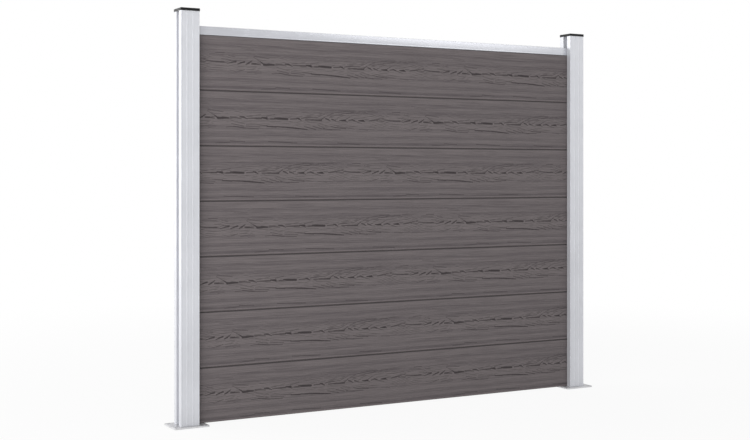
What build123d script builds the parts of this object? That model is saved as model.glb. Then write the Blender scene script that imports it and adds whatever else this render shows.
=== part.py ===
from build123d import *
import os

# Composite fence panel: hollow tongued boards stacked between two slotted posts.
# Lengths are in millimetres. X runs along the fence, Y from front to back, Z up.
# The origin is on the ground, midway between the two posts.

os.makedirs("parts", exist_ok=True)

# Panel
board_count = 7
clear_width = 1660.0  # between the facing sides of the posts
board_end_gap = 5.0  # room for a board to grow at each end, inside the slot

# Boards
board_cover = 200.0  # height of face that one board adds
board_thick = 20.0
board_wall = 4.0  # front and back walls beside the chambers
board_floor = 4.0  # solid under the tongue and over the groove
board_web = 4.0  # between two chambers
chamber_count = 5
chamber_bevel = 2.5
board_bevel = 2.0  # along the lower edge of both faces
joint_height = 4.5  # of the shadow line between the faces of two boards
joint_depth = 4.0
joint_fall = 0.5  # its ledge slopes outwards, so that rain runs off
tongue_thick = 8.0
tongue_height = 9.0
tongue_lead = 1.5
groove_side_gap = 0.4
groove_end_gap = 1.5

# Top rail
rail_height = 31.0
rail_cover = 3.0  # how far its skirts reach down over the top board
rail_wall = 1.1
rail_deck = 1.5  # top wall, and the web that rests on the tongue
rail_lip = 1.3  # the skirts turn inwards at the bottom and grip the board's neck
rail_bead = 0.5  # how far the bead along each lower edge stands proud
rail_bead_height = 7.0
rail_round = 1.0
rail_board_gap = 0.1
rail_slot_gap = 0.3

# Posts
post_size = 70.0
post_rise = 84.0  # how far the posts stand above the shoulders of the top board
post_wall = 2.0
post_round = 1.5
slot_depth = 20.0
slot_lip_bevel = 0.5
face_recess = 1.0  # the flutes of the front and back faces
corner_land = 4.0
land_bevel = 0.6
rib_count = 2
rib_width = 5.0
port_hole = 4.2  # screw port, bored size
port_wall = 2.1
port_bevel = 2.0
port_inset = 6.0  # from the outer faces to the port's axis

# Foot plates and their screws
plate_length = 130.0
plate_width = 110.0
plate_thick = 6.0
plate_corner = 2.0
plate_edge = 0.6
anchor_hole = 11.0
anchor_inset = 13.0  # from the plate's edges to the hole's axis
screw_shank = 4.0
screw_head_wide = 8.5
screw_head_tall = 3.5
screw_sink = 0.3  # the head lies this far inside the plate
screw_reach = 20.0  # into the post
screw_hole = 5.5
screw_head_gap = 0.4  # all round the head, in its counterbore
hex_wide = 3.0
hex_depth = 2.0

# Post caps
cap_top = 3.5
cap_skirt_depth = 6.5
cap_skirt_wall = 1.3
cap_corner = 2.0
cap_edge = 1.0
cap_gap = 0.2
plug_depth = 18.0
plug_wall = 2.0
plug_gap = 0.3

# Worked out from the values above
board_length = clear_width + 2 * (slot_depth - board_end_gap)
board_half = board_thick / 2
tongue_half = tongue_thick / 2
groove_half = tongue_half + groove_side_gap
groove_depth = tongue_height + groove_end_gap
chambers_low = groove_depth + board_floor
neck_half = board_half - joint_depth
ledge = board_cover - joint_height
chambers_high = ledge - board_floor
chamber_wide = board_thick - 2 * board_wall
chamber_tall = (chambers_high - chambers_low - (chamber_count - 1) * board_web) / chamber_count
stack_tall = board_count * board_cover
stack_top = plate_thick + stack_tall

rail_inner = board_half + rail_board_gap
rail_grip = neck_half + rail_board_gap
rail_face = rail_inner + rail_wall
rail_low = stack_top - rail_cover
rail_pocket = rail_cover + tongue_height
rail_box_tall = rail_height - rail_pocket - 2 * rail_deck

slot_half = rail_face + rail_bead + rail_slot_gap
post_half = post_size / 2
slot_floor = post_half - slot_depth
recess_half = post_half - corner_land
recess_floor = post_half - face_recess
post_length = stack_tall + post_rise
post_top = plate_thick + post_length
post_centre = clear_width / 2 + post_half
port_axis = post_half - port_inset
port_low = port_axis - port_hole / 2 - port_wall
port_high = post_half - post_wall / 2
anchor_x = plate_length / 2 - anchor_inset
anchor_y = plate_width / 2 - anchor_inset
flute_width = (2 * recess_half - rib_count * rib_width) / (rib_count + 1)


def save(piece, name):
    """Labels a finished piece and writes it as the node of that name."""
    piece.part.label = name
    export_step(piece.part, "parts/" + name + ".step")


# Boards, each with its tongue up and its groove down, so that rain runs off the joint
def make_board(name, bottom):
    along = Plane(origin=(-board_length / 2, 0, bottom), x_dir=(0, 1, 0), z_dir=(1, 0, 0))
    with BuildPart() as board:
        with BuildSketch(along):
            with BuildLine():
                Polyline(
                    (0, groove_depth),
                    (groove_half, groove_depth),
                    (groove_half, 0),
                    (board_half - board_bevel, 0),
                    (board_half, board_bevel),
                    (board_half, ledge - joint_fall),
                    (neck_half, ledge),
                    (neck_half, board_cover),
                    (tongue_half, board_cover),
                    (tongue_half, board_cover + tongue_height - tongue_lead),
                    (tongue_half - tongue_lead, board_cover + tongue_height),
                    (0, board_cover + tongue_height),
                )
                mirror(about=Plane.YZ)
            make_face()
            for row in range(chamber_count):
                middle = chambers_low + chamber_tall / 2 + row * (chamber_tall + board_web)
                with BuildSketch(Plane.XY, mode=Mode.PRIVATE) as chamber:
                    Rectangle(chamber_wide, chamber_tall)
                    chamfer(chamber.vertices(), chamber_bevel)
                with Locations((0, middle)):
                    add(chamber.sketch, mode=Mode.SUBTRACT)
        extrude(amount=board_length)
    save(board, name)


for level in range(board_count):
    make_board("board_" + str(level + 1), plate_thick + level * board_cover)


# Top rail: its lower pocket goes over the top board's neck, its web rests on the tongue
rail_start = Plane(origin=(-board_length / 2, 0, rail_low), x_dir=(0, 1, 0), z_dir=(1, 0, 0))
with BuildPart() as top_rail:
    with BuildSketch(rail_start) as rail_section:
        with Locations((0, rail_height / 2)):
            Rectangle(2 * rail_face, rail_height)
        fillet(rail_section.vertices().group_by(Axis.Y)[-1], rail_round)
        for side in (-1, 1):
            with BuildLine():
                ThreePointArc(
                    (side * rail_face, 0),
                    (side * (rail_face + rail_bead), rail_bead_height / 2),
                    (side * rail_face, rail_bead_height),
                )
                Line((side * rail_face, rail_bead_height), (side * rail_face, 0))
            make_face()
        with Locations((0, rail_lip / 2)):
            Rectangle(2 * rail_grip, rail_lip, mode=Mode.SUBTRACT)
        with Locations((0, (rail_lip + rail_pocket) / 2)):
            Rectangle(2 * rail_inner, rail_pocket - rail_lip, mode=Mode.SUBTRACT)
        with Locations((0, rail_pocket + rail_deck + rail_box_tall / 2)):
            Rectangle(2 * rail_inner, rail_box_tall, mode=Mode.SUBTRACT)
    extrude(amount=board_length)
save(top_rail, "top_rail")


def corners_at(sketch, x, y):
    """Gives the corners of a sketch that lie at that distance from both of its centre lines."""
    slack = 0.01
    return sketch.vertices().filter_by(lambda v: abs(abs(v.X) - x) < slack and abs(abs(v.Y) - y) < slack)


# Posts: one extrusion each, with a slot on both sides and fluted front and back faces
def make_post(name, centre):
    with BuildPart() as post:
        with BuildSketch(Plane(origin=(centre, 0, plate_thick))) as section:
            RectangleRounded(post_size, post_size, post_round)
            with GridLocations(post_size - slot_depth, 0, 2, 1):
                Rectangle(slot_depth, 2 * slot_half, mode=Mode.SUBTRACT)
            with GridLocations(0, post_size - face_recess, 1, 2):
                Rectangle(2 * recess_half, face_recess, mode=Mode.SUBTRACT)
            for side in (-1, 1):
                for rib in range(rib_count):
                    left = -recess_half + flute_width + rib * (flute_width + rib_width)
                    with BuildLine():
                        ThreePointArc(
                            (left, side * recess_floor),
                            (left + rib_width / 2, side * post_half),
                            (left + rib_width, side * recess_floor),
                        )
                        Line((left + rib_width, side * recess_floor), (left, side * recess_floor))
                    make_face()
            # The hollow is one space: a middle chamber and wings round the slots
            wing_low = slot_half + post_wall
            wing_high = recess_floor - post_wall
            Rectangle(2 * (slot_floor - post_wall), 2 * wing_high, mode=Mode.SUBTRACT)
            with GridLocations(0, wing_low + wing_high, 1, 2):
                Rectangle(2 * (post_half - post_wall), wing_high - wing_low, mode=Mode.SUBTRACT)
            # The corners beside the flutes and at the slots' mouths are eased
            chamfer(corners_at(section, recess_half, post_half), land_bevel)
            chamfer(corners_at(section, post_half, slot_half), slot_lip_bevel)
            # A screw port fills each inner corner
            with GridLocations(port_low + port_high, port_low + port_high, 2, 2):
                Rectangle(port_high - port_low, port_high - port_low)
            chamfer(corners_at(section, port_low, port_low), port_bevel)
            with GridLocations(2 * port_axis, 2 * port_axis, 2, 2):
                Circle(port_hole / 2, mode=Mode.SUBTRACT)
        extrude(amount=post_length)
    save(post, name)


make_post("post_left", -post_centre)
make_post("post_right", post_centre)


# Foot plates: anchor holes at the corners, counterbored holes from below for the post's screws
def make_foot_plate(name, centre):
    underside = Plane(origin=(centre, 0, 0), z_dir=(0, 0, -1))
    with BuildPart() as plate:
        with BuildSketch(Plane(origin=(centre, 0, 0))) as outline:
            Rectangle(plate_length, plate_width)
            chamfer(outline.vertices(), plate_corner)
        extrude(amount=plate_thick)
        chamfer(plate.edges().group_by(Axis.Z)[-1], plate_edge)
        with Locations(Plane(origin=(centre, 0, plate_thick))):
            with GridLocations(2 * anchor_x, 2 * anchor_y, 2, 2):
                Hole(anchor_hole / 2)
        with Locations(underside):
            with GridLocations(2 * port_axis, 2 * port_axis, 2, 2):
                CounterBoreHole(
                    radius=screw_hole / 2,
                    counter_bore_radius=screw_head_wide / 2 + screw_head_gap,
                    counter_bore_depth=screw_sink + screw_head_tall,
                )
    save(plate, name)


make_foot_plate("foot_plate_left", -post_centre)
make_foot_plate("foot_plate_right", post_centre)


# Low-headed socket screws, driven up through the plate into the four ports of a post
def make_foot_screws(name, centre):
    head_half = screw_head_wide / 2
    head_top = screw_sink + screw_head_tall
    shank_half = screw_shank / 2
    tip = plate_thick + screw_reach
    with BuildPart() as screw:
        with BuildSketch(Plane.XZ):
            with BuildLine():
                Polyline(
                    (0, screw_sink),
                    (head_half, screw_sink),
                    (head_half, head_top),
                    (shank_half, head_top),
                    (shank_half, tip),
                    (0, tip),
                    close=True,
                )
            make_face()
        revolve(axis=Axis.Z)
        with BuildSketch(Plane.XY.offset(screw_sink)):
            RegularPolygon(hex_wide / 2, 6, major_radius=False)
        extrude(amount=hex_depth, mode=Mode.SUBTRACT)
    with BuildPart() as screws:
        with Locations((centre, 0, 0)):
            with GridLocations(2 * port_axis, 2 * port_axis, 2, 2):
                add(screw.part)
    save(screws, name)


make_foot_screws("foot_screws_left", -post_centre)
make_foot_screws("foot_screws_right", post_centre)


# Post caps: a skirt goes over the post's end, a hollow plug goes down into its middle chamber
def make_cap(name, centre):
    cap_inner = post_size + 2 * cap_gap
    cap_outer = cap_inner + 2 * cap_skirt_wall
    plug_x = 2 * (slot_floor - post_wall - plug_gap)
    plug_y = 2 * (recess_floor - post_wall - plug_gap)
    with BuildPart() as cap:
        with BuildSketch(Plane(origin=(centre, 0, post_top - cap_skirt_depth))) as outline:
            Rectangle(cap_outer, cap_outer)
            chamfer(outline.vertices(), cap_corner)
        extrude(amount=cap_skirt_depth + cap_top)
        chamfer(cap.edges().group_by(Axis.Z)[-1], cap_edge)
        with BuildSketch(Plane(origin=(centre, 0, post_top - cap_skirt_depth))):
            Rectangle(cap_inner, cap_inner)
        extrude(amount=cap_skirt_depth, mode=Mode.SUBTRACT)
        with BuildSketch(Plane(origin=(centre, 0, post_top - plug_depth))):
            Rectangle(plug_x, plug_y)
            Rectangle(plug_x - 2 * plug_wall, plug_y - 2 * plug_wall, mode=Mode.SUBTRACT)
        extrude(amount=plug_depth)
    save(cap, name)


make_cap("post_cap_left", -post_centre)
make_cap("post_cap_right", post_centre)
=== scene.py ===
"""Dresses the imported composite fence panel: embossed boards, satin aluminium, black caps and a studio."""
import math

import bpy
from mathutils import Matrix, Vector


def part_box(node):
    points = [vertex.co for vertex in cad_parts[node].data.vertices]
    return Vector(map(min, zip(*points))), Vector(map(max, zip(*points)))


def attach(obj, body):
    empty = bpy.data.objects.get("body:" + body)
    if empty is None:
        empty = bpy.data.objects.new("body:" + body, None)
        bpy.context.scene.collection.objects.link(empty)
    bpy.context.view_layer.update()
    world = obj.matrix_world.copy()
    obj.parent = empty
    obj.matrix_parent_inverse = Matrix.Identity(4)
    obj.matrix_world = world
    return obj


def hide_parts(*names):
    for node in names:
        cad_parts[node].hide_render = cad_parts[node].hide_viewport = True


bl_info = {
    "name": "Composite fence panel",
    "version": (1, 0, 0),
    "blender": (4, 5, 0),
    "location": "3D View > Sidebar > Fence",
    "description": "Finishes a fence panel of embossed composite boards between aluminium posts",
    "category": "Object",
}

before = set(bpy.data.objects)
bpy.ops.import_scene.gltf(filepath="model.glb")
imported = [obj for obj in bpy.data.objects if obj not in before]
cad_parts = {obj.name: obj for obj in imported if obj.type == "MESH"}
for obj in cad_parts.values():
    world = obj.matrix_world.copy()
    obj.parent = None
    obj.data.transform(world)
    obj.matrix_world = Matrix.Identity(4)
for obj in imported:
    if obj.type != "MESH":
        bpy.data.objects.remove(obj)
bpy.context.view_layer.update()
BOARDS = ["board_" + str(level) for level in range(1, 8)]
SIDES = ("left", "right")
FIRST_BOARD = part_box("board_1")
SECOND_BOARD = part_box("board_2")
BOARD_COVER = SECOND_BOARD[0].z - FIRST_BOARD[0].z
HALF_THICKNESS = FIRST_BOARD[1].y

# Strokes of the embossing roller's print as they are drawn, in millimetres from the start of the print and
# from the board's heart line: start along, start height, start half width, end along, end height,
# end half width, depth. print_strokes gives them as the roller presses them
HEAVY_STROKES = (
    # the heaviest on the heart line
    (152, -1.8, 3.6, 172, 0, 4.6, 0.92), (170, 0.2, 4.6, 193, 0, 2.8, 0.92),
    (378, 2.5, 2.6, 392, 2, 4.0, 0.95), (391, 1.8, 4.1, 429, 0.4, 4.1, 0.95),
)
BROAD_STROKES = (
    # broad ones on the heart line
    (325, 4, 1.4, 345, 1.5, 3.8, 0.95), (649, 0, 0.8, 673, 0, 3.4, 0.92),
    (731, 0.5, 0.9, 752, 0.5, 3.4, 0.92),
)
HEART_STROKES = (
    # the rest of the heart line, from one end of the print to the other
    (7, -1.5, 0.85, 25, 2.5, 1.75, 0.66), (24, 3, 1.9, 40, 5.5, 2.4, 0.95),
    (47, -2.5, 1.0, 61, 2, 1.8, 0.80), (60, 2.5, 1.9, 74, 6, 2.6, 0.95),
    (81, -2, 1.6, 92, 2.5, 2.4, 0.95), (91, 3, 2.2, 104, 11, 1.2, 0.70),
    (103, 0, 1.4, 120, 0.8, 2.6, 0.85), (120, 0.8, 2.4, 139, -2, 0.9, 0.65),
    (201, 3, 2.4, 222, 2, 3.0, 0.52), (222, 1.6, 2.6, 243, -1.5, 1.4, 0.50),
    (238, 5, 1.4, 253, 4, 2.6, 0.85), (253, 4, 2.4, 268, -2, 1.0, 0.70),
    (270, 0.5, 1.0, 303, 1, 1.9, 0.62), (303, 1, 2.0, 325, 1, 1.8, 0.70),
    (345, 0.5, 3.0, 351, -5, 0.8, 0.50), (360, 0, 1.6, 378, 1, 1.8, 0.62),
    (442, 0.8, 1.6, 467, 2, 2.2, 0.55), (468, 4.5, 1.4, 478, 2.5, 2.8, 0.90),
    (478, 2, 2.6, 487, -3, 1.2, 0.85), (503, -0.5, 1.0, 545, -0.8, 1.6, 0.70),
    (545, -0.8, 1.6, 571, -0.8, 2.8, 0.88), (572, 2, 1.6, 587, 12, 0.9, 0.65),
    (590, 5.5, 1.4, 600, 2.5, 2.4, 0.88), (600, 2, 2.0, 609, -3, 0.9, 0.65),
    (616, 3.5, 2.2, 631, -1, 1.4, 0.70), (631, 4, 1.2, 641, 6, 1.0, 0.50),
    (673, -1, 2.6, 683, -6, 0.8, 0.50), (688, 0, 1.2, 703, 3, 2.2, 0.60),
    (703, 3.5, 2.0, 714, -0.5, 2.2, 0.85), (714, -1, 1.5, 744, -10, 0.8, 0.50),
    (752, 0, 2.6, 760, -3, 0.9, 0.60), (758, 5, 1.1, 775, 6.5, 1.0, 0.40),
    (778, 1, 1.05, 802, 4, 2.25, 0.66), (802, 4.2, 2.3, 816, 5, 1.2, 0.60),
    (808, 6.5, 0.9, 843, 12, 1.1, 0.55), (811, 1, 0.9, 844, 0.7, 1.1, 0.48),
    (844, 6.5, 1.35, 884, 2.5, 1.35, 0.61), (882, 2.6, 1.4, 914, 2.2, 1.8, 0.88),
    (914, 2.2, 1.3, 921, 1, 0.8, 0.55), (0, 0.5, 0.8, 8, -1, 0.9, 0.50),
    (488, 4, 1.1, 505, 7.5, 1.1, 0.58),
)
RING_STROKES = (
    # growth rings that leave the heart line on the upper side
    (110, 25, 0.8, 138, 9, 1.2, 0.45), (138, 9, 1.3, 152, 0, 2.8, 0.80),
    (676, 5, 1.2, 694, 14, 0.9, 0.50), (505, 7.5, 1.1, 552, 9, 1.0, 0.50),
    (552, 9, 1.0, 585, 22, 0.8, 0.42), (500, 14, 0.8, 547, 14.5, 0.9, 0.34),
    (547, 14.5, 0.9, 574, 23, 0.8, 0.32), (343, 9, 1.0, 378, 16, 0.9, 0.42),
    (265, 7, 0.9, 286, 8.5, 1.0, 0.42), (286, 8.5, 1.0, 322, 16, 0.8, 0.34),
    (432, 6, 0.8, 446, 9.5, 0.9, 0.34), (113, 28, 0.9, 145, 25.5, 1.0, 0.50),
    (145, 25.5, 1.0, 173, 22, 0.9, 0.44), (46, 62, 0.8, 112, 54, 0.8, 0.28),
    (60, 56, 0.8, 118, 48, 0.8, 0.26), (12, 28, 0.9, 37, 23, 0.9, 0.40),
    (0, 13, 1.0, 20, 10.5, 0.9, 0.42), (611, 14, 0.8, 638, 20, 0.8, 0.40),
    (638, 20, 0.8, 660, 22.5, 0.8, 0.36), (641, 11, 0.8, 668, 19, 0.8, 0.40),
    (596, 17, 0.8, 622, 26, 0.8, 0.38), (711, 9, 0.8, 758, 12, 0.8, 0.34),
    (604, 9, 0.8, 622, 12.5, 0.8, 0.40), (881, 35.5, 0.9, 916, 35.5, 1.0, 0.48),
    (858, 29, 0.8, 912, 27.5, 0.8, 0.28), (700, 19, 0.8, 746, 24, 0.8, 0.30),
    (772, 36, 0.9, 815, 34, 0.9, 0.34), (905, 15, 0.9, 921, 13, 0.9, 0.38),
    # and on the lower side
    (263, -22, 0.8, 305, -22.5, 0.9, 0.36), (305, -22.5, 0.9, 347, -25, 1.2, 0.52),
    (263, -28, 0.9, 318, -31, 0.9, 0.44), (347, -27.5, 1.4, 384, -29.5, 1.6, 0.80),
    (386, -28.5, 1.2, 432, -30.5, 1.5, 0.82), (428, -30.5, 1.8, 465, -33, 2.3, 0.95),
    (465, -33, 2.1, 512, -37, 1.0, 0.80), (500, -26, 1.0, 547, -36, 1.2, 0.60),
    (535, -24, 0.9, 572, -33, 1.1, 0.52), (555, -18, 0.8, 586, -32, 0.9, 0.40),
    (578, -33, 1.0, 615, -36, 1.1, 0.58), (587, -22.5, 0.8, 612, -24, 0.8, 0.38),
    (611, -23, 0.9, 633, -27.5, 1.1, 0.62), (633, -27.5, 1.1, 676, -31, 1.0, 0.58),
    (638, -22.5, 0.8, 676, -28, 0.8, 0.40), (611, -35, 1.0, 653, -36, 0.9, 0.46),
    (676, -27.5, 0.8, 714, -32, 0.8, 0.34), (735, -32, 0.9, 772, -35.5, 0.9, 0.36),
    (203, -8, 0.8, 257, -20, 0.9, 0.40), (205, -20, 0.8, 253, -29, 1.0, 0.46),
    (213, -30, 1.1, 262, -36, 1.1, 0.60), (184, -33, 1.0, 214, -31, 1.0, 0.46),
    (262, -36, 1.1, 312, -38, 0.9, 0.46), (17, -25, 0.8, 43, -33, 0.8, 0.32),
    (48, -29, 1.1, 75, -22.5, 1.0, 0.50), (83, -22.5, 0.8, 110, -20, 0.8, 0.34),
    (50, -12, 0.8, 84, -8, 0.8, 0.30), (86, -13, 0.8, 122, -9, 0.8, 0.30),
    (353, -7.5, 0.8, 405, -10, 0.8, 0.30), (443, -11, 0.8, 473, -11, 0.8, 0.30),
    (512, -9, 0.8, 556, -12, 0.8, 0.34), (556, -12, 0.8, 596, -21, 0.8, 0.34),
    (631, -3, 0.9, 649, -5.5, 0.8, 0.40),
    # a few long pores near the lower edge
    (200, -83, 1.0, 258, -86, 1.2, 0.46), (142, -92, 0.9, 200, -88, 0.9, 0.40),
    (352, -84, 1.0, 470, -88, 1.1, 0.44), (640, -86, 1.0, 735, -91, 1.2, 0.46),
)
FAN_STROKES = (
    # a fan of fine rings above the heart line
    (611, 25, 0.9, 631, 30, 0.9, 0.48), (631, 29.5, 1.0, 674, 34.5, 1.1, 0.64),
    (674, 34.5, 1.0, 712, 37.5, 0.9, 0.52), (644, 37.5, 0.9, 694, 40, 0.9, 0.40),
    (658, 25, 1.0, 694, 29, 1.2, 0.60), (694, 29, 1.2, 718, 34.5, 0.9, 0.58),
    (676, 25.5, 0.9, 731, 31.5, 0.9, 0.44), (721, 27, 0.9, 738, 32, 0.9, 0.52),
    (732, 36, 1.0, 762, 34, 1.5, 0.58), (751, 25, 0.8, 771, 29, 0.9, 0.36),
)
LOW_STROKES = (
    # fine rings below it, near the start of the print
    (85, -32.5, 1.1, 117, -29, 1.1, 0.56), (117, -29, 1.0, 142, -27.5, 0.9, 0.48),
    (115, -36, 1.0, 142, -32.5, 1.0, 0.44),
)
# Depth of the heart under the face along the print, in shares of the print and of HEART_DEEPEST:
# the growth rings close round the heart line wherever this changes
HEART_DEPTH = (
    (0.0, 0.84), (0.10, 0.60), (0.155, 0.78), (0.21, 0.79), (0.32, 1.0), (0.41, 0.93), (0.46, 0.92),
    (0.60, 0.62), (0.72, 0.42), (0.81, 0.38), (0.90, 0.62), (0.97, 0.84), (1.0, 0.84),
)
HEART_DEEPEST = 0.046
# Broad light and dark bands over a board's height, from its lower edge to its upper edge
BANDS = (
    (0.0, 0.80), (0.02, 0.80), (0.035, 0.20), (0.05, 0.16), (0.065, 0.20), (0.085, 0.42), (0.125, 0.60),
    (0.195, 0.34), (0.24, 0.56), (0.275, 0.62), (0.33, 0.45), (0.40, 0.66), (0.56, 0.62), (0.60, 0.58),
    (0.675, 0.29), (0.725, 0.52), (0.775, 0.52), (0.825, 0.36), (0.875, 0.60), (0.925, 0.64),
    (0.965, 0.68), (1.0, 0.68),
)
MIDDLE_TONE = 0.55  # a band lighter or darker than this gets stronger or weaker along the board

RING_SPACING = 0.0060
BACK_SHIFT = 0.377  # the back's print is shifted along the board by this much
BACK_OFFSET = 31.7  # and its noise is read from another place

# How deep each pattern is, as a share of the print's depth
PRESSED_DEPTH = 0.02  # what pressing adds to every stroke but the heaviest
RING_DEPTH = 0.78
STREAK_DEPTH = 0.36
PORE_DEPTH = 0.34

# How much each pattern moves a board's tone
CLOUD_TONE = 0.22
FINE_TONE = 1.1
RIDGE_TONE = 0.90
FIBRE_TONE = 0.55
SPECKLE_TONE = 0.25
BRUSH_TONE = 0.9

# From this depth under a board's face the painted shade inside its joints begins, and at the next it is full
JOINT_SHADE_FROM = 0.0016
JOINT_SHADE_FULL = 0.0038

# Etched and anodised metal scatters about half of its light like paint, and the matt posts more of it
SATIN_METAL = 0.5
MATT_METAL = 0.35

# Scales of the extrusion lines along X, Y and Z
LINES_ALONG_X = (4, 1400, 1400)
LINES_ALONG_Z = (1400, 1400, 4)

# How far from the panel's middle the floor's shadow starts to fade, and where it is gone
SHADOW_NEAR = 1.6
SHADOW_FAR = 4.5

PANEL_MIDDLE = (0, 0, 0.75)
RAIL_MIDDLE = (0.2, 0, 1.42)
# Name, width and height, place, what it points at, setting with its power, whether gloss mirrors it.
# Seen from the right, the rail would mirror the key as a white bar, so a weaker lamp lights the ribs
SOFTBOXES = (
    ("key_softbox", (6.0, 2.4), (-6.4, -4.8, 1.25), PANEL_MIDDLE, "key_power", False),
    ("side_softbox", (3.6, 3.6), (-4.0, 3.4, 2.0), PANEL_MIDDLE, "side_power", True),
    ("rib_softbox", (2.8, 2.2), (-3.3, -5.2, 1.15), PANEL_MIDDLE, "rib_power", True),
    ("rail_softbox", (1.6, 1.1), (2.40, -3.7, 1.87), RAIL_MIDDLE, "rail_power", True),
)

# The camera, worked out from the vanishing lines of the seams and posts
CAMERA_PLACE = (-2.499, -4.294, 0.903)
CAMERA_TURN = math.radians(-29.264)
CAMERA_LENS = 60.92  # millimetres, on a sensor of SENSOR_WIDTH
SENSOR_WIDTH = 36.0
CAMERA_SHIFT = -0.0617


def to_linear(colour):
    """Turns a colour as a picker shows it, 0 to 1, into the linear colour that a shader takes."""
    return tuple(c / 12.92 if c <= 0.04045 else ((c + 0.055) / 1.055) ** 2.4 for c in colour[:3]) + (1.0,)


def tinted(colour, factor):
    """The linear form of a colour that is made darker or lighter."""
    return to_linear(tuple(min(1.0, c * factor) for c in colour[:3]))


class Nodes:
    """Adds and joins the nodes of one material or node group."""

    def __init__(self, tree):
        self.tree = tree
        self.tree.nodes.clear()

    def add(self, kind, inputs=None, **settings):
        node = self.tree.nodes.new("ShaderNode" + kind)
        for name, value in settings.items():
            setattr(node, name, value)
        for socket, value in (inputs or {}).items():
            self.feed(node.inputs[socket], value)
        return node

    def feed(self, socket, value):
        if isinstance(value, bpy.types.NodeSocket):
            self.tree.links.new(value, socket)
        else:
            socket.default_value = value

    def math(self, operation, first, second=0.0, third=0.0):
        return self.add("Math", {0: first, 1: second, 2: third}, operation=operation).outputs[0]

    def vector(self, operation, first, second, third=(0, 0, 0)):
        return self.add("VectorMath", {0: first, 1: second, 2: third}, operation=operation).outputs[0]

    def vector_ramp(self, value, low, high, start, end, shape):
        inputs = {6: value, 7: low, 8: high, 9: start, 10: end}
        return self.add("MapRange", inputs, data_type="FLOAT_VECTOR", interpolation_type=shape).outputs[1]

    def join(self, x, y, z):
        return self.add("CombineXYZ", {0: x, 1: y, 2: z}).outputs[0]

    def split(self, vector):
        return self.add("SeparateXYZ", {0: vector}).outputs

    def noise(self, vector, scale, detail, roughness):
        inputs = {"Vector": vector, "Scale": scale, "Detail": detail, "Roughness": roughness}
        return self.add("TexNoise", inputs).outputs[0]

    def stretched_noise(self, vector, scales, detail, roughness):
        stretched = self.add("Mapping", {"Vector": vector, "Scale": scales}).outputs[0]
        return self.noise(stretched, 1.0, detail, roughness)

    def sway(self, noise, amount, base=0.0):
        """Moves a base value up and down by a noise."""
        return self.math("MULTIPLY_ADD", self.math("SUBTRACT", noise, 0.5), amount, base)

    def ramp(self, value, low, high, start=0.0, end=1.0):
        inputs = {"Value": value, "From Min": low, "From Max": high, "To Min": start, "To Max": end}
        return self.add("MapRange", inputs, interpolation_type="SMOOTHSTEP").outputs[0]

    def curve(self, value, points):
        node = self.add("FloatCurve", {"Value": value})
        line = node.mapping.curves[0]
        line.points[0].location = points[0]
        line.points[1].location = points[-1]
        for point in points[1:-1]:
            line.points.new(*point)
        node.mapping.update()
        return node.outputs[0]

    def blend(self, factor, first, second):
        node = self.add("Mix", data_type="RGBA")
        for socket, value in ((0, factor), (6, first), (7, second)):
            self.feed(node.inputs[socket], value)
        return node.outputs[2]

    def finish(self, shader):
        self.tree.links.new(shader.outputs[0], self.add("OutputMaterial").inputs["Surface"])

    def finish_relief(self, colour, roughness, relief, relief_depth, constants):
        """Ends a material with a bump and a shader, whose constants are set on its own sockets."""
        bump = self.add("Bump", {"Strength": 1.0, "Distance": relief_depth, "Height": relief})
        surface = {"Base Color": colour, "Roughness": roughness, "Normal": bump.outputs[0]}
        self.finish(self.add("BsdfPrincipled", {**surface, **constants}))


def new_material(name):
    """Gives an empty material and the tool that fills it."""
    material = bpy.data.materials.new(name)
    material.use_nodes = True
    return material, Nodes(material.node_tree)


def dress(piece, material):
    """Gives a piece its one material."""
    piece.data.materials.clear()
    piece.data.materials.append(material)


def select_only(piece):
    bpy.ops.object.select_all(action="DESELECT")
    bpy.context.view_layer.objects.active = piece
    piece.select_set(True)


def smooth_copy(name, node):
    """Copies a CAD node, joins its loose triangles and smooths its rounded edges. It stands for the node."""
    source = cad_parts[node]
    piece = bpy.data.objects.new(name, source.data.copy())
    bpy.context.scene.collection.objects.link(piece)
    select_only(piece)
    bpy.ops.object.mode_set(mode="EDIT")
    bpy.ops.mesh.select_all(action="SELECT")
    bpy.ops.mesh.remove_doubles(threshold=0.00001)
    bpy.ops.mesh.customdata_custom_splitnormals_clear()
    bpy.ops.object.mode_set(mode="OBJECT")
    bpy.ops.object.shade_smooth_by_angle(angle=0.6)
    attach(piece, "root")
    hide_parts(node)
    return piece


def soften_edges(piece, width):
    """Rounds the sharp edges of a piece a little, as its mould does."""
    sharp = 0.5
    bevel = piece.modifiers.new("soft edges", "BEVEL")
    bevel.width = width
    bevel.segments = 2
    bevel.limit_method = "ANGLE"
    bevel.angle_limit = sharp
    bevel.harden_normals = False
    select_only(piece)
    bpy.ops.object.modifier_apply(modifier=bevel.name)
    bpy.ops.object.shade_smooth_by_angle(angle=sharp)


def pressed(strokes, added, gain, deepest):
    """Drawn strokes as the roller presses them: added goes to the half widths, and the depth grows by gain."""
    wider_and_deeper = []
    for begin, height, half, finish, end_height, end_half, depth in strokes:
        depth = min(deepest, gain * depth + PRESSED_DEPTH)
        wider_and_deeper.append((begin, height, half + added, finish, end_height, end_half + added, depth))
    return tuple(wider_and_deeper)


def print_strokes():
    """All strokes of the print, pressed group by group. Their number is a multiple of three."""
    return (
        HEAVY_STROKES
        + pressed(BROAD_STROKES, added=0.55, gain=1.28, deepest=0.97)
        + pressed(HEART_STROKES, added=0.45, gain=1.18, deepest=0.89)
        + pressed(RING_STROKES, added=0.30, gain=1.30, deepest=0.95)
        + pressed(FAN_STROKES, added=0.0, gain=1.09, deepest=0.80)
        + pressed(LOW_STROKES, added=-0.10, gain=1.01, deepest=0.74)
    )


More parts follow.
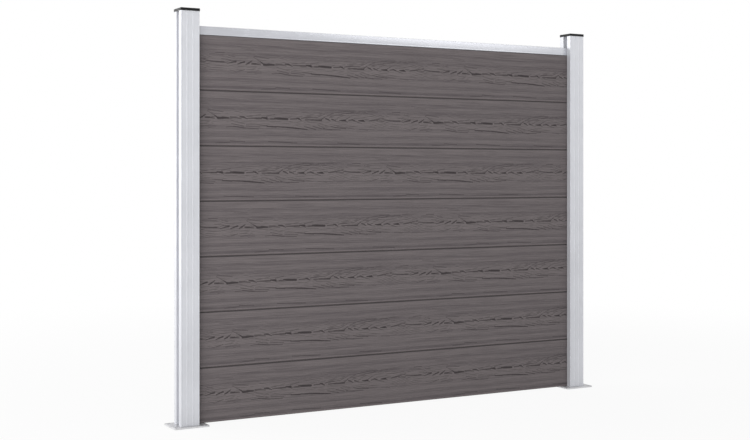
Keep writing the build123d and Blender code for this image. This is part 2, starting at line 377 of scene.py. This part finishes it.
def stroke_group():
    """A node group that gives the depths of three tapering strokes, one in each part of a vector."""
    group = bpy.data.node_groups.new("three strokes", "ShaderNodeTree")
    names = ("Along", "Across", "Start", "End", "Height", "Rise", "Half Width", "Swell", "Depth")
    for name in names:
        group.interface.new_socket(name, in_out="INPUT", socket_type="NodeSocketVector")
    group.interface.new_socket("Depths", in_out="OUTPUT", socket_type="NodeSocketVector")
    nodes = Nodes(group)
    start = group.nodes.new("NodeGroupInput")
    end = group.nodes.new("NodeGroupOutput")
    along, across, first, last, height, rise, half, swell, depth = (start.outputs[name] for name in names)
    none, full = (0, 0, 0), (1, 1, 1)
    gone = nodes.vector_ramp(along, first, last, none, full, "LINEAR")
    nearest = nodes.vector_ramp(along, first, last, first, last, "LINEAR")
    half = nodes.vector("MULTIPLY_ADD", gone, swell, half)
    middle = nodes.vector("MULTIPLY_ADD", gone, rise, height)
    past = nodes.vector("DIVIDE", nodes.vector("SUBTRACT", along, nearest), half)
    beside = nodes.vector("DIVIDE", nodes.vector("SUBTRACT", across, middle), half)
    reach = nodes.vector("MULTIPLY_ADD", beside, beside, nodes.vector("MULTIPLY", past, past))
    # reach is the squared distance in half widths: full depth up to 0.35 of it, and none from 1.7
    inside = nodes.vector_ramp(reach, (1.7, 1.7, 1.7), (0.35, 0.35, 0.35), none, full, "SMOOTHSTEP")
    group.links.new(nodes.vector("MULTIPLY", inside, depth), end.inputs[0])
    return group


def grain_group(repeat):
    """A node group with the embossed grain. Its inputs are the shift of the print along a board and the
    board's lower edge. Its outputs are the print's depth, 0 to 1, and the board's tone, 0 to 1."""
    group = bpy.data.node_groups.new("embossed grain", "ShaderNodeTree")
    for name in ("Shift", "Lower Edge"):
        group.interface.new_socket(name, in_out="INPUT", socket_type="NodeSocketFloat")
    for name in ("Depth", "Tone"):
        group.interface.new_socket(name, in_out="OUTPUT", socket_type="NodeSocketFloat")
    nodes = Nodes(group)
    start = group.nodes.new("NodeGroupInput")
    end = group.nodes.new("NodeGroupOutput")
    place = nodes.split(nodes.add("TexCoord").outputs["Object"])
    back = nodes.math("GREATER_THAN", place[1], 0.0)
    shifted = nodes.math("SUBTRACT", place[0], start.outputs["Shift"])
    shifted = nodes.math("MULTIPLY_ADD", back, BACK_SHIFT, shifted)
    share = nodes.math("FRACT", nodes.math("DIVIDE", shifted, repeat))
    height = nodes.math("SUBTRACT", place[2], start.outputs["Lower Edge"])

    # The roller's print goes round, so its noise is read on a circle that joins up
    turn = nodes.math("MULTIPLY", share, 2 * math.pi)
    east, north = nodes.math("COSINE", turn), nodes.math("SINE", turn)

    def print_noise(long, tall, detail, roughness, offset):
        """Noise whose grains are so many metres long and tall. The offset gives each its own pattern."""
        radius = repeat / (2 * math.pi * long)
        level = nodes.math("MULTIPLY_ADD", height, 1 / tall, offset)
        level = nodes.math("MULTIPLY_ADD", back, BACK_OFFSET, level)
        vector = nodes.join(nodes.math("MULTIPLY", east, radius), nodes.math("MULTIPLY", north, radius), level)
        return nodes.noise(vector, 1.0, detail, roughness)

    wander = nodes.sway(print_noise(0.11, 0.045, 2.0, 0.5, 3.0), 0.006)
    ragged = nodes.sway(print_noise(0.012, 0.004, 2.0, 0.6, 9.0), 0.0022)
    heart = nodes.math("SUBTRACT", height, BOARD_COVER * 0.5)
    across = nodes.math("ADD", heart, ragged)

    # Growth rings: contour lines of the distance to the heart, with a light ridge between two
    deep = nodes.math("MULTIPLY", nodes.curve(share, HEART_DEPTH), HEART_DEEPEST)
    distance = nodes.math("ADD", nodes.math("ADD", nodes.math("ABSOLUTE", across), deep), wander)
    ring = nodes.math("DIVIDE", distance, RING_SPACING)
    phase = nodes.math("ABSOLUTE", nodes.math("SUBTRACT", nodes.math("FRACT", ring), 0.5))
    own = nodes.add("TexWhiteNoise", {"W": nodes.math("FLOOR", ring)}, noise_dimensions="1D").outputs[0]
    broken = nodes.ramp(print_noise(0.060, 0.006, 2.0, 0.55, 21.0), 0.42, 0.62)
    weight = nodes.math("MULTIPLY_ADD", own, 0.7, 0.3)
    rings = nodes.math("MULTIPLY", nodes.ramp(phase, 0.25, 0.08), weight)
    near_heart = nodes.ramp(nodes.math("ABSOLUTE", heart), 0.050, 0.010, 0.25, 1.0)
    where = nodes.math("MULTIPLY", broken, near_heart)
    rings = nodes.math("MULTIPLY", rings, where)
    ridges = nodes.math("MULTIPLY", nodes.ramp(phase, 0.30, 0.46), where)

    # Fine straight pores, and the broad bands that they make where they lie close together
    level = nodes.math("DIVIDE", height, BOARD_COVER)
    level = nodes.math("ADD", level, nodes.sway(print_noise(0.30, 0.10, 1.0, 0.5, 5.0), 0.005))
    band = nodes.curve(level, BANDS)
    strength = nodes.ramp(print_noise(0.26, 0.040, 2.0, 0.5, 110.0), 0.30, 0.70, 0.65, 1.15)
    band = nodes.math("MULTIPLY_ADD", nodes.math("SUBTRACT", band, MIDDLE_TONE), strength, MIDDLE_TONE)
    pores = nodes.ramp(print_noise(0.050, 0.0012, 3.0, 0.6, 40.0), 0.50, 0.70)
    streaks = nodes.ramp(print_noise(0.16, 0.0027, 2.0, 0.5, 60.0), 0.48, 0.70)
    dense = nodes.ramp(band, 0.62, 0.15, 0.45, 1.0)
    pores = nodes.math("MULTIPLY", pores, dense)
    streaks = nodes.math("MULTIPLY", streaks, dense)

    # The strokes, three at a time, in millimetres
    along = nodes.math("MULTIPLY_ADD", share, repeat, nodes.math("MULTIPLY", ragged, 1.4))
    across = nodes.math("ADD", heart, nodes.math("MULTIPLY", ragged, 0.6))
    along, across = (nodes.math("MULTIPLY", value, 1000) for value in (along, across))
    along, across = nodes.join(along, along, along), nodes.join(across, across, across)
    three = stroke_group()
    deepest = None
    strokes = print_strokes()
    for first in range(0, len(strokes), 3):
        begin, height_at, half, finish, end_height, end_half, depth = zip(*strokes[first:first + 3])
        rise = tuple(b - a for a, b in zip(height_at, end_height))
        swell = tuple(b - a for a, b in zip(half, end_half))
        one = nodes.add("Group", node_tree=three)
        nodes.feed(one.inputs["Along"], along)
        nodes.feed(one.inputs["Across"], across)
        for name, values in (("Start", begin), ("End", finish), ("Height", height_at), ("Rise", rise),
                             ("Half Width", half), ("Swell", swell), ("Depth", depth)):
            one.inputs[name].default_value = values
        deepest = one.outputs[0] if deepest is None else nodes.vector("MAXIMUM", deepest, one.outputs[0])
    parts = nodes.split(deepest)
    marks = nodes.math("MAXIMUM", nodes.math("MAXIMUM", parts[0], parts[1]), parts[2])

    depth = nodes.math("MAXIMUM", marks, nodes.math("MULTIPLY", rings, RING_DEPTH))
    depth = nodes.math("MAXIMUM", depth, nodes.math("MULTIPLY", streaks, STREAK_DEPTH))
    depth = nodes.math("ADD", depth, nodes.math("MULTIPLY", pores, PORE_DEPTH))
    tone = nodes.sway(print_noise(0.20, 0.030, 3.0, 0.55, 80.0), CLOUD_TONE, band)
    tone = nodes.sway(print_noise(0.17, 0.0024, 2.0, 0.55, 95.0), FINE_TONE, tone)
    tone = nodes.math("MULTIPLY_ADD", ridges, RIDGE_TONE, tone)
    for socket, value in zip(("Depth", "Tone"), (depth, tone)):
        group.links.new(value, end.inputs[socket])
    return group


def board_material(level, grain, settings):
    """The composite of one board: embossed faces in two greys, plain extruded edges, and painted shade inside
    the joints.
    """
    material, nodes = new_material("composite " + str(level + 1))
    printed = nodes.add("Group", node_tree=grain)
    printed.inputs["Shift"].default_value = settings.print_starts[level]
    printed.inputs["Lower Edge"].default_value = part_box(BOARDS[level])[0].z
    depth, tone = printed.outputs
    coordinates = nodes.add("TexCoord").outputs["Object"]
    # The roller only meets the two faces
    normal = nodes.split(nodes.add("NewGeometry").outputs["True Normal"])
    face = nodes.ramp(nodes.math("ABSOLUTE", normal[1]), 0.85, 0.97)
    # Fibre, flour and brush marks of the composite itself, which the print doesn't repeat
    fibre = nodes.stretched_noise(coordinates, (180, 900, 900), 3.0, 0.6)
    speckle = nodes.noise(coordinates, 1500.0, 2.0, 0.5)
    brushed = nodes.stretched_noise(coordinates, (5, 60, 330), 2.0, 0.6)
    for noise, amount in ((fibre, FIBRE_TONE), (speckle, SPECKLE_TONE), (brushed, BRUSH_TONE)):
        tone = nodes.sway(noise, amount, tone)
    tone = nodes.ramp(tone, 0.0, 1.0)
    body = nodes.blend(tone, to_linear(settings.shade_colour), to_linear(settings.face_colour))
    sunk = nodes.math("MULTIPLY", nodes.math("MINIMUM", depth, 1.0), face)
    colour = nodes.blend(sunk, body, to_linear(settings.grain_colour))
    # Painted shade inside the joints: deep under the face the colour goes over to a darker grey, which stands
    # for the shadow in the gap between two boards
    thickness = nodes.math("ABSOLUTE", nodes.split(coordinates)[1])
    joint_shade_mask = nodes.ramp(thickness, HALF_THICKNESS - JOINT_SHADE_FULL, HALF_THICKNESS - JOINT_SHADE_FROM, 1.0, 0.0)
    colour = nodes.blend(joint_shade_mask, colour, to_linear(settings.joint_colour))
    relief = nodes.math("MULTIPLY_ADD", sunk, -1.0, nodes.math("MULTIPLY", fibre, 0.10))
    rough = nodes.ramp(sunk, 0.0, 1.0, 0.66, 0.86)
    nodes.finish_relief(colour, rough, relief, settings.print_depth, {"Specular IOR Level": 0.35})
    return material


def satin_aluminium(name, colour, roughness, metallic, lines, line_depth):
    """Anodised aluminium with fine extrusion lines. lines is the pattern's scale along X, Y and Z."""
    material, nodes = new_material(name)
    coordinates = nodes.add("TexCoord").outputs["Object"]
    drawn = nodes.stretched_noise(coordinates, lines, 3.0, 0.65)
    cloud = nodes.noise(coordinates, 9.0, 3.0, 0.55)
    grain = nodes.noise(coordinates, 2400.0, 2.0, 0.5)
    shade = nodes.sway(drawn, 0.7, nodes.sway(cloud, 0.8, 0.5))
    tint = nodes.blend(nodes.ramp(shade, 0.0, 1.0), tinted(colour, 0.955), tinted(colour, 1.03))
    rough = nodes.sway(cloud, 0.10, nodes.sway(drawn, 0.16, roughness))
    relief = nodes.math("MULTIPLY_ADD", grain, 0.35, drawn)
    nodes.finish_relief(tint, rough, relief, line_depth, {"Metallic": metallic})
    return material


def blasted_aluminium(name, colour, roughness):
    """Plate with a fine blasted surface and faint rolling clouds."""
    material, nodes = new_material(name)
    coordinates = nodes.add("TexCoord").outputs["Object"]
    pits = nodes.noise(coordinates, 1700.0, 3.0, 0.6)
    cloud = nodes.noise(coordinates, 38.0, 3.0, 0.5)
    shade = nodes.sway(pits, 0.6, cloud)
    tint = nodes.blend(nodes.ramp(shade, 0.2, 0.8), tinted(colour, 0.93), to_linear(colour))
    rough = nodes.sway(cloud, 0.14, roughness)
    nodes.finish_relief(tint, rough, pits, 0.00012, {"Metallic": SATIN_METAL})
    return material


def moulded_plastic(name, colour, roughness):
    """Black moulded plastic with the fine eroded texture of its mould."""
    material, nodes = new_material(name)
    coordinates = nodes.add("TexCoord").outputs["Object"]
    eroded = nodes.noise(coordinates, 1900.0, 3.0, 0.6)
    cloud = nodes.noise(coordinates, 55.0, 2.0, 0.5)
    worn = nodes.math("MULTIPLY", eroded, nodes.math("ADD", cloud, 0.4))
    light = tuple(min(1.0, c + 0.035) for c in colour[:3])
    tint = nodes.blend(nodes.ramp(worn, 0.2, 0.8), to_linear(colour), to_linear(light))
    rough = nodes.sway(cloud, 0.16, roughness)
    nodes.finish_relief(tint, rough, eroded, 0.00008, {"Specular IOR Level": 0.24})
    return material


def turned_steel(name, colour):
    """Stainless screws with turning marks round the shank."""
    material, nodes = new_material(name)
    coordinates = nodes.add("TexCoord").outputs["Object"]
    turned = nodes.stretched_noise(coordinates, (60, 60, 5200), 2.0, 0.6)
    cloud = nodes.noise(coordinates, 420.0, 2.0, 0.5)
    tint = nodes.blend(nodes.ramp(cloud, 0.3, 0.7), tinted(colour, 0.86), to_linear(colour))
    rough = nodes.math("MULTIPLY_ADD", turned, 0.18, 0.20)
    nodes.finish_relief(tint, rough, turned, 0.00003, {"Metallic": 1.0})
    return material


def seen_directly(nodes):
    """Gives 1 for what the camera sees, also through gloss or glass, and 0 for light that spreads."""
    path = nodes.add("LightPath")
    seen = nodes.math("MAXIMUM", path.outputs["Is Camera Ray"], path.outputs["Is Glossy Ray"])
    return nodes.math("MAXIMUM", seen, path.outputs["Is Transmission Ray"])


def add_softbox(name, size, place, target, power, mirrored):
    """A large soft lamp that points at a place and isn't seen itself."""
    lamp = bpy.data.lights.new(name, "AREA")
    lamp.shape = "RECTANGLE"
    lamp.size, lamp.size_y = size
    lamp.energy = power
    holder = bpy.data.objects.new(name, lamp)
    bpy.context.scene.collection.objects.link(holder)
    holder.location = place
    holder.rotation_euler = (Vector(target) - Vector(place)).to_track_quat("-Z", "Y").to_euler()
    holder.visible_camera = False
    holder.visible_glossy = mirrored


def lay_floor(stage):
    """A pale floor that looks white away from the panel and keeps a share of its shadow near it."""
    bpy.ops.object.select_all(action="DESELECT")
    bpy.ops.mesh.primitive_plane_add(size=stage.floor_size, location=(0, 0, 0))
    floor = bpy.context.active_object
    floor.name = "studio_floor"
    material, nodes = new_material("studio floor")
    shade = nodes.add("BsdfDiffuse", {"Color": to_linear(stage.floor_colour)})
    white = nodes.add("Emission", {"Color": (1, 1, 1, 1), "Strength": 1.0})
    coordinates = nodes.add("TexCoord").outputs["Object"]
    place = nodes.add("VectorMath", {0: coordinates}, operation="LENGTH").outputs["Value"]
    shadow = nodes.ramp(place, SHADOW_NEAR, SHADOW_FAR, stage.shadow_share, 0.0)
    share = nodes.math("MULTIPLY", seen_directly(nodes), nodes.math("SUBTRACT", 1.0, shadow))
    nodes.finish(nodes.add("MixShader", {0: share, 1: shade.outputs[0], 2: white.outputs[0]}))
    floor.data.materials.append(material)


def light_room(strength):
    """Even light from all sides, seen as plain white."""
    world = bpy.data.worlds.new("studio room")
    world.use_nodes = True
    bpy.context.scene.world = world
    nodes = Nodes(world.node_tree)
    room = nodes.add("Background", {"Color": (1, 1, 1, 1), "Strength": strength})
    white = nodes.add("Background", {"Color": (1, 1, 1, 1), "Strength": 1.0})
    mixed = nodes.add("MixShader", {0: seen_directly(nodes), 1: room.outputs[0], 2: white.outputs[0]})
    nodes.tree.links.new(mixed.outputs[0], nodes.add("OutputWorld").inputs["Surface"])


def place_camera():
    camera = bpy.data.objects.new("camera", bpy.data.cameras.new("camera"))
    bpy.context.scene.collection.objects.link(camera)
    camera.location = CAMERA_PLACE
    camera.rotation_euler = (math.radians(90), 0, CAMERA_TURN)
    camera.data.sensor_width = SENSOR_WIDTH
    camera.data.lens = CAMERA_LENS
    camera.data.shift_y = CAMERA_SHIFT
    camera.data.clip_end = 500.0
    bpy.context.scene.camera = camera


class BoardSettings(bpy.types.PropertyGroup):
    face_colour: bpy.props.FloatVectorProperty(
        name="Face colour", description="Raised, light parts of the boards",
        subtype="COLOR", size=3, min=0, max=1, default=(0.437, 0.410, 0.412))
    shade_colour: bpy.props.FloatVectorProperty(
        name="Band colour", description="Darker bands of the boards",
        subtype="COLOR", size=3, min=0, max=1, default=(0.345, 0.320, 0.328))
    grain_colour: bpy.props.FloatVectorProperty(
        name="Grain colour", description="Bottom of the embossed marks",
        subtype="COLOR", size=3, min=0, max=1, default=(0.215, 0.195, 0.200))
    # Painted shade inside the joints, a darker grey that stands for the shadow in the gap between two boards
    joint_colour: bpy.props.FloatVectorProperty(
        name="Joint shade", description="Painted shade inside the joints",
        subtype="COLOR", size=3, min=0, max=1, default=(0.270, 0.250, 0.255))
    print_depth: bpy.props.FloatProperty(
        name="Print depth", description="Depth of the embossed marks", default=0.0005, min=0.0, unit="LENGTH")
    print_repeat: bpy.props.FloatProperty(
        name="Print repeat", description="Girth of the embossing roller", default=0.921, min=0.1,
        unit="LENGTH")
    print_starts: bpy.props.FloatVectorProperty(
        name="Print starts", description="Where the print starts on each board, from the lowest up",
        size=7, unit="LENGTH", default=(-0.804, -0.805, -0.866, -0.747, -1.079, -0.902, -0.720))


class MetalSettings(bpy.types.PropertyGroup):
    post_colour: bpy.props.FloatVectorProperty(
        name="Post colour", description="Anodised posts",
        subtype="COLOR", size=3, min=0, max=1, default=(0.800, 0.805, 0.825))
    rail_colour: bpy.props.FloatVectorProperty(
        name="Rail colour", description="Anodised top rail",
        subtype="COLOR", size=3, min=0, max=1, default=(0.748, 0.753, 0.775))
    plate_colour: bpy.props.FloatVectorProperty(
        name="Plate colour", description="Blasted foot plates",
        subtype="COLOR", size=3, min=0, max=1, default=(0.81, 0.81, 0.82))
    screw_colour: bpy.props.FloatVectorProperty(
        name="Screw colour", description="Stainless screws",
        subtype="COLOR", size=3, min=0, max=1, default=(0.73, 0.73, 0.72))
    satin: bpy.props.FloatProperty(
        name="Satin", description="Roughness of the anodised posts",
        default=0.40, min=0.0, max=1.0, subtype="FACTOR")
    rail_satin: bpy.props.FloatProperty(
        name="Rail satin", description="Roughness of the anodised rail",
        default=0.24, min=0.0, max=1.0, subtype="FACTOR")
    plate_satin: bpy.props.FloatProperty(
        name="Plate satin", description="Roughness of the blasted plates",
        default=0.46, min=0.0, max=1.0, subtype="FACTOR")
    line_depth: bpy.props.FloatProperty(
        name="Line depth", description="Depth of the extrusion lines", default=0.00003, min=0.0,
        unit="LENGTH")


class CapSettings(bpy.types.PropertyGroup):
    colour: bpy.props.FloatVectorProperty(
        name="Cap colour", description="Moulded post caps",
        subtype="COLOR", size=3, min=0, max=1, default=(0.022, 0.022, 0.025))
    roughness: bpy.props.FloatProperty(
        name="Cap roughness", description="Roughness of the mould's texture",
        default=0.46, min=0.0, max=1.0, subtype="FACTOR")
    edge: bpy.props.FloatProperty(
        name="Cap edge", description="Rounding of the moulded edges", default=0.0004, min=0.0,
        unit="LENGTH")


class StageSettings(bpy.types.PropertyGroup):
    floor_size: bpy.props.FloatProperty(
        name="Floor size", description="Side of the pale floor", default=160.0, min=4.0, unit="LENGTH")
    floor_colour: bpy.props.FloatVectorProperty(
        name="Floor colour", description="Pale floor under the fence",
        subtype="COLOR", size=3, min=0, max=1, default=(0.93, 0.93, 0.93))
    shadow_share: bpy.props.FloatProperty(
        name="Shadow share", description="How much of the floor's shadow shows",
        default=0.08, min=0.0, max=1.0, subtype="FACTOR")
    room_light: bpy.props.FloatProperty(
        name="Room light", description="Strength of the even light from all sides", default=0.50, min=0.0)
    key_power: bpy.props.FloatProperty(
        name="Key power", description="Power of the softbox at the front left",
        default=352.0, min=0.0, unit="POWER")
    side_power: bpy.props.FloatProperty(
        name="Side power", description="Power of the softbox at the back left",
        default=126.0, min=0.0, unit="POWER")
    rib_power: bpy.props.FloatProperty(
        name="Rib power", description="Power of the weak softbox that the posts' ribs mirror",
        default=39.0, min=0.0, unit="POWER")
    rail_power: bpy.props.FloatProperty(
        name="Rail power", description="Power of the small softbox at the front right",
        default=12.5, min=0.0, unit="POWER")


class FenceSettings(bpy.types.PropertyGroup):
    boards: bpy.props.PointerProperty(type=BoardSettings)
    metal: bpy.props.PointerProperty(type=MetalSettings)
    caps: bpy.props.PointerProperty(type=CapSettings)
    stage: bpy.props.PointerProperty(type=StageSettings)


class FENCE_OT_boards(bpy.types.Operator):
    """Give the seven boards their embossed composite, each with the print shifted"""

    bl_idname = "fence.boards"
    bl_label = "Finish boards"

    def execute(self, context):
        settings = context.scene.fence.boards
        grain = grain_group(settings.print_repeat)
        for level, name in enumerate(BOARDS):
            dress(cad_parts[name], board_material(level, grain, settings))
        return {"FINISHED"}


class FENCE_OT_top_rail(bpy.types.Operator):
    """Smooth the top rail's rounded edges and give it satin aluminium"""

    bl_idname = "fence.top_rail"
    bl_label = "Finish top rail"

    def execute(self, context):
        metal = context.scene.fence.metal
        rail = smooth_copy("rail_extrusion", "top_rail")
        satin = satin_aluminium(
            "satin rail", metal.rail_colour, metal.rail_satin, SATIN_METAL, LINES_ALONG_X, metal.line_depth)
        dress(rail, satin)
        return {"FINISHED"}


class FENCE_OT_posts(bpy.types.Operator):
    """Smooth the posts' ribs and corners and give them satin aluminium"""

    bl_idname = "fence.posts"
    bl_label = "Finish posts"

    def execute(self, context):
        metal = context.scene.fence.metal
        satin = satin_aluminium(
            "satin posts", metal.post_colour, metal.satin, MATT_METAL, LINES_ALONG_Z, metal.line_depth)
        for side in SIDES:
            dress(smooth_copy("post_extrusion_" + side, "post_" + side), satin)
        return {"FINISHED"}


class FENCE_OT_post_caps(bpy.types.Operator):
    """Round the caps' moulded edges and give them black plastic"""

    bl_idname = "fence.post_caps"
    bl_label = "Finish post caps"

    def execute(self, context):
        caps = context.scene.fence.caps
        plastic = moulded_plastic("moulded cap", caps.colour, caps.roughness)
        for side in SIDES:
            cap = smooth_copy("moulded_cap_" + side, "post_cap_" + side)
            soften_edges(cap, caps.edge)
            dress(cap, plastic)
        return {"FINISHED"}


class FENCE_OT_foot_plates(bpy.types.Operator):
    """Give the foot plates blasted aluminium"""

    bl_idname = "fence.foot_plates"
    bl_label = "Finish foot plates"

    def execute(self, context):
        metal = context.scene.fence.metal
        blasted = blasted_aluminium("blasted plate", metal.plate_colour, metal.plate_satin)
        for side in SIDES:
            dress(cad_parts["foot_plate_" + side], blasted)
        return {"FINISHED"}


class FENCE_OT_foot_screws(bpy.types.Operator):
    """Give the screws under the foot plates turned stainless steel"""

    bl_idname = "fence.foot_screws"
    bl_label = "Finish foot screws"

    def execute(self, context):
        steel = turned_steel("turned screws", context.scene.fence.metal.screw_colour)
        for side in SIDES:
            dress(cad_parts["foot_screws_" + side], steel)
        return {"FINISHED"}


class FENCE_OT_stage(bpy.types.Operator):
    """Lay the pale floor and set the studio light and the camera"""

    bl_idname = "fence.stage"
    bl_label = "Set stage"

    def execute(self, context):
        stage = context.scene.fence.stage
        lay_floor(stage)
        light_room(stage.room_light)
        for name, size, place, target, power, mirrored in SOFTBOXES:
            add_softbox(name, size, place, target, getattr(stage, power), mirrored)
        place_camera()
        context.scene.view_settings.view_transform = "Standard"
        return {"FINISHED"}


class FENCE_PT_panel(bpy.types.Panel):
    """Steps that dress the fence panel"""

    bl_idname = "FENCE_PT_panel"
    bl_label = "Composite fence panel"
    bl_space_type = "VIEW_3D"
    bl_region_type = "UI"
    bl_category = "Fence"

    def draw(self, context):
        fence = context.scene.fence
        for title, group, steps in (
            ("Boards", fence.boards, ("boards",)),
            ("Metal", fence.metal, ("top_rail", "posts", "foot_plates", "foot_screws")),
            ("Caps", fence.caps, ("post_caps",)),
            ("Stage", fence.stage, ("stage",)),
        ):
            box = self.layout.box()
            box.label(text=title)
            for name in group.__annotations__:
                box.prop(group, name)
            for step in steps:
                box.operator("fence." + step)


CLASSES = (
    BoardSettings, MetalSettings, CapSettings, StageSettings, FenceSettings,
    FENCE_OT_boards, FENCE_OT_top_rail, FENCE_OT_posts, FENCE_OT_post_caps,
    FENCE_OT_foot_plates, FENCE_OT_foot_screws, FENCE_OT_stage, FENCE_PT_panel,
)


def register():
    for one in CLASSES:
        bpy.utils.register_class(one)
    bpy.types.Scene.fence = bpy.props.PointerProperty(type=FenceSettings)


def unregister():
    del bpy.types.Scene.fence
    for one in reversed(CLASSES):
        bpy.utils.unregister_class(one)


def main():
    """Runs every step in order."""
    register()
    for step in (
        bpy.ops.fence.boards, bpy.ops.fence.top_rail, bpy.ops.fence.posts, bpy.ops.fence.post_caps,
        bpy.ops.fence.foot_plates, bpy.ops.fence.foot_screws, bpy.ops.fence.stage,
    ):
        step()


if __name__ == "__main__":
    main()
